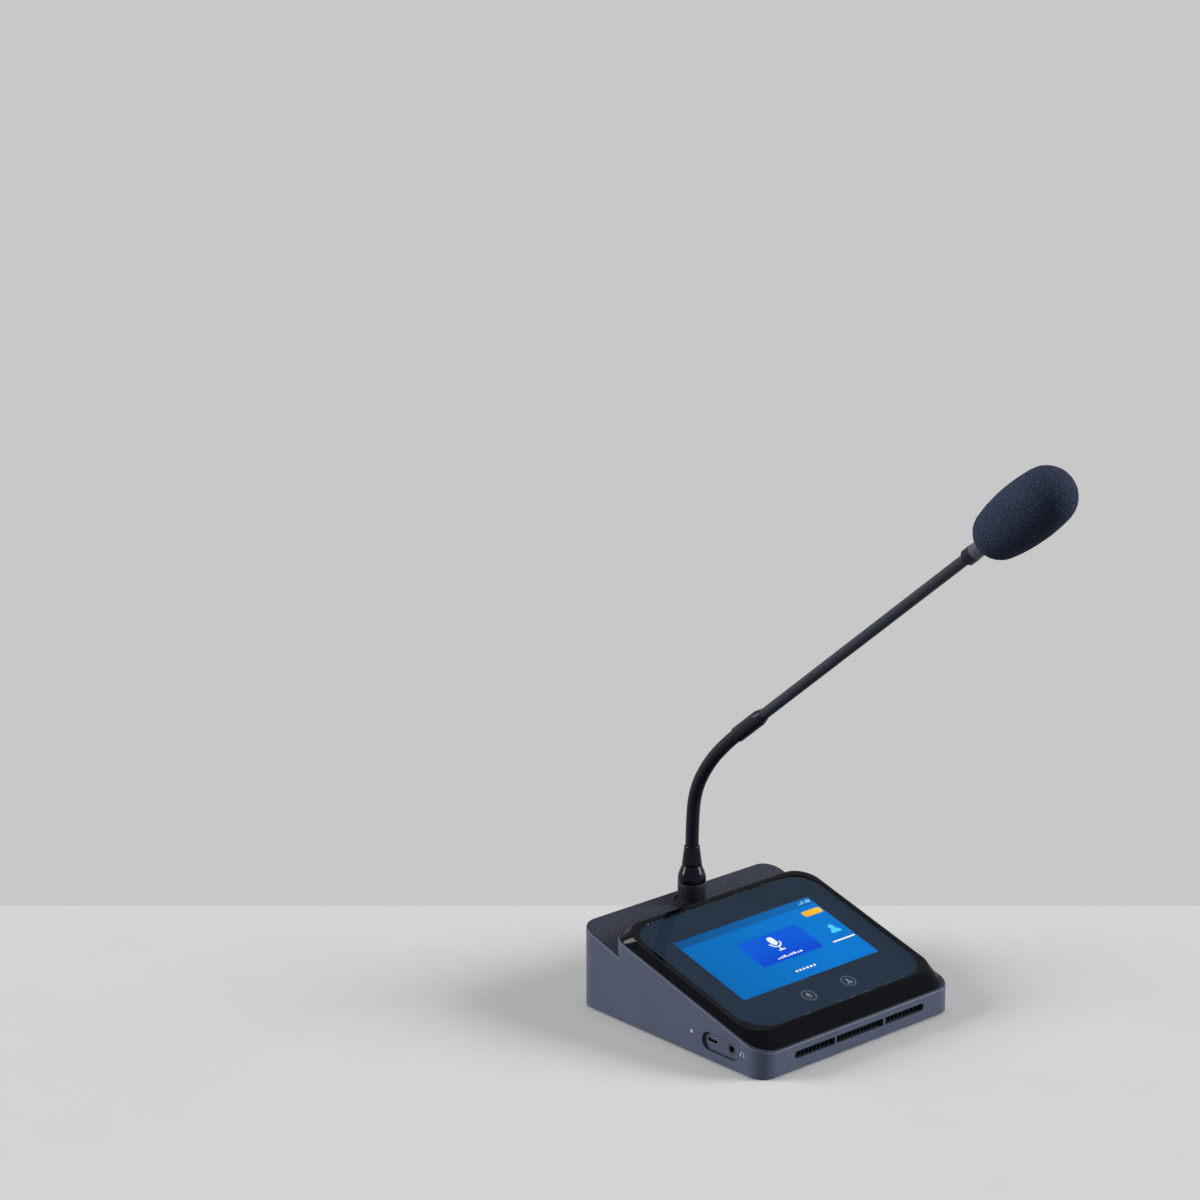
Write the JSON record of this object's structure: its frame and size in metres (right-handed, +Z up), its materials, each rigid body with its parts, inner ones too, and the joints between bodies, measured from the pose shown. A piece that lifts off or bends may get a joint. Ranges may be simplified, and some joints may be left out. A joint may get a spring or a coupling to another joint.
{
  "type": "conference microphone",
  "caption": "Desk conference microphone: a wedge base with a tilted touch display and a rear socket that holds a bendable gooseneck microphone with a foam windscreen.",
  "frame": {"origin": "centre of the underside of the anti-slip pad, on the surface that the base stands on", "axes": "+Z up, -Y towards the user at the low front edge, +X to the user's right"},
  "size_m": [0.158, 0.2993, 0.3712],
  "materials": {
    "housing_grey": "fine matte",
    "grille_black": "matte",
    "plate_steel": "powder coat",
    "screw_steel": "zinc",
    "pad_rubber": "soft matte",
    "bezel_black": "high gloss",
    "glass_dark": "polished",
    "seal_foam": "matte",
    "panel_display": "display",
    "bracket_steel": "stamped",
    "board_green": "solder mask",
    "brass_post": "turned",
    "can_tin": "tinned",
    "chip_black": "moulded",
    "connector_white": "moulded",
    "battery_wrap": "wrap",
    "speaker_black": "moulded",
    "cone_paper": "paper",
    "magnet_steel": "plated",
    "port_steel": "plated",
    "jack_black": "moulded",
    "lamp_clear": "clear",
    "metal_black": "satin black",
    "metal_gloss_black": "gloss black",
    "pin_gold": "gold plate",
    "neck_black": "satin sleeve",
    "ring_clear": "frosted",
    "capsule_aluminium": "turned",
    "foam_black": "open foam"
  },
  "bodies": {
    "base": {"upper_housing": "housing_grey", "front_grille": "grille_black", "bottom_plate": "plate_steel", "base_screws": "screw_steel", "anti_slip_pad": "pad_rubber", "display_bezel": "bezel_black", "bezel_screws": "screw_steel", "touch_glass": "glass_dark", "display_seal": "seal_foam", "lcd_panel": "panel_display", "lcd_bracket": "bracket_steel", "touch_key_board": "board_green", "main_board": "board_green", "board_standoffs": "brass_post", "board_screws": "screw_steel", "shield_can": "can_tin", "processor_chip": "chip_black", "board_connectors": "connector_white", "battery_pack": "battery_wrap", "antenna_board": "board_green", "speaker_box": "speaker_black", "speaker_frame": "speaker_black", "speaker_cone": "cone_paper", "speaker_magnet": "magnet_steel", "usb_c_shell": "port_steel", "usb_c_tongue": "jack_black", "jack_ring": "port_steel", "headphone_jack": "jack_black", "port_board": "board_green", "lamp_chip": "chip_black", "lamp_light_pipe": "lamp_clear", "mic_socket": "metal_black", "socket_insert": "chip_black", "socket_nut": "brass_post"},
    "microphone": {"mic_plug": "metal_gloss_black", "plug_pins": "pin_gold", "lower_ferrule": "metal_gloss_black"},
    "collar": {"locking_collar": "metal_black"},
    "neck_low": {"gooseneck_1": "neck_black"},
    "neck_middle": {"gooseneck_2": "neck_black"},
    "neck_high": {"gooseneck_3": "neck_black"},
    "head": {"gooseneck_4": "neck_black", "neck_sleeve": "metal_black", "stem_tube": "metal_black", "head_ferrule": "metal_black", "light_ring": "ring_clear", "ring_lamp_board": "board_green", "capsule_tube": "capsule_aluminium", "mic_capsule": "capsule_aluminium", "capsule_grille": "capsule_aluminium"},
    "windscreen": {"foam_windscreen": "foam_black"}
  },
  "joints": [
    {"name": "mic_unplug", "type": "slide", "parent": "base", "child": "microphone", "axis": [0, 0, 1], "range_m": [0, 0.022]},
    {"name": "collar_turn", "type": "hinge", "parent": "microphone", "child": "collar", "pos_m": [0, 0.064, 0.055], "axis": [0, 0, 1], "range_deg": [0, 540]},
    {"name": "neck_side", "type": "hinge", "parent": "microphone", "child": "neck_low", "pos_m": [0, 0.06377, 0.0955], "axis": [0, 1, 0], "range_deg": [-40, 40], "deforming": ["gooseneck_1"]},
    {"name": "neck_bend", "type": "hinge", "parent": "neck_low", "child": "neck_middle", "pos_m": [0, 0.06095, 0.11825], "axis": [1, 0, 0], "range_deg": [-20, 20], "deforming": ["gooseneck_2"]},
    {"name": "neck_bend_middle", "type": "hinge", "parent": "neck_middle", "child": "neck_high", "pos_m": [0, 0.05032, 0.13853], "axis": [1, 0, 0], "range_deg": [-20, 20], "deforming": ["gooseneck_3"]},
    {"name": "neck_bend_high", "type": "hinge", "parent": "neck_high", "child": "head", "pos_m": [0, 0.03497, 0.15561], "axis": [1, 0, 0], "range_deg": [-20, 20], "deforming": ["gooseneck_4"]},
    {"name": "windscreen_off", "type": "slide", "parent": "head", "child": "windscreen", "axis": [0, -0.7705, 0.6374], "range_m": [0, 0.055]}
  ],
  "couplings": [
    {"joint": "neck_bend_middle", "follows": "neck_bend", "ratio": 1},
    {"joint": "neck_bend_high", "follows": "neck_bend", "ratio": 1}
  ]
}
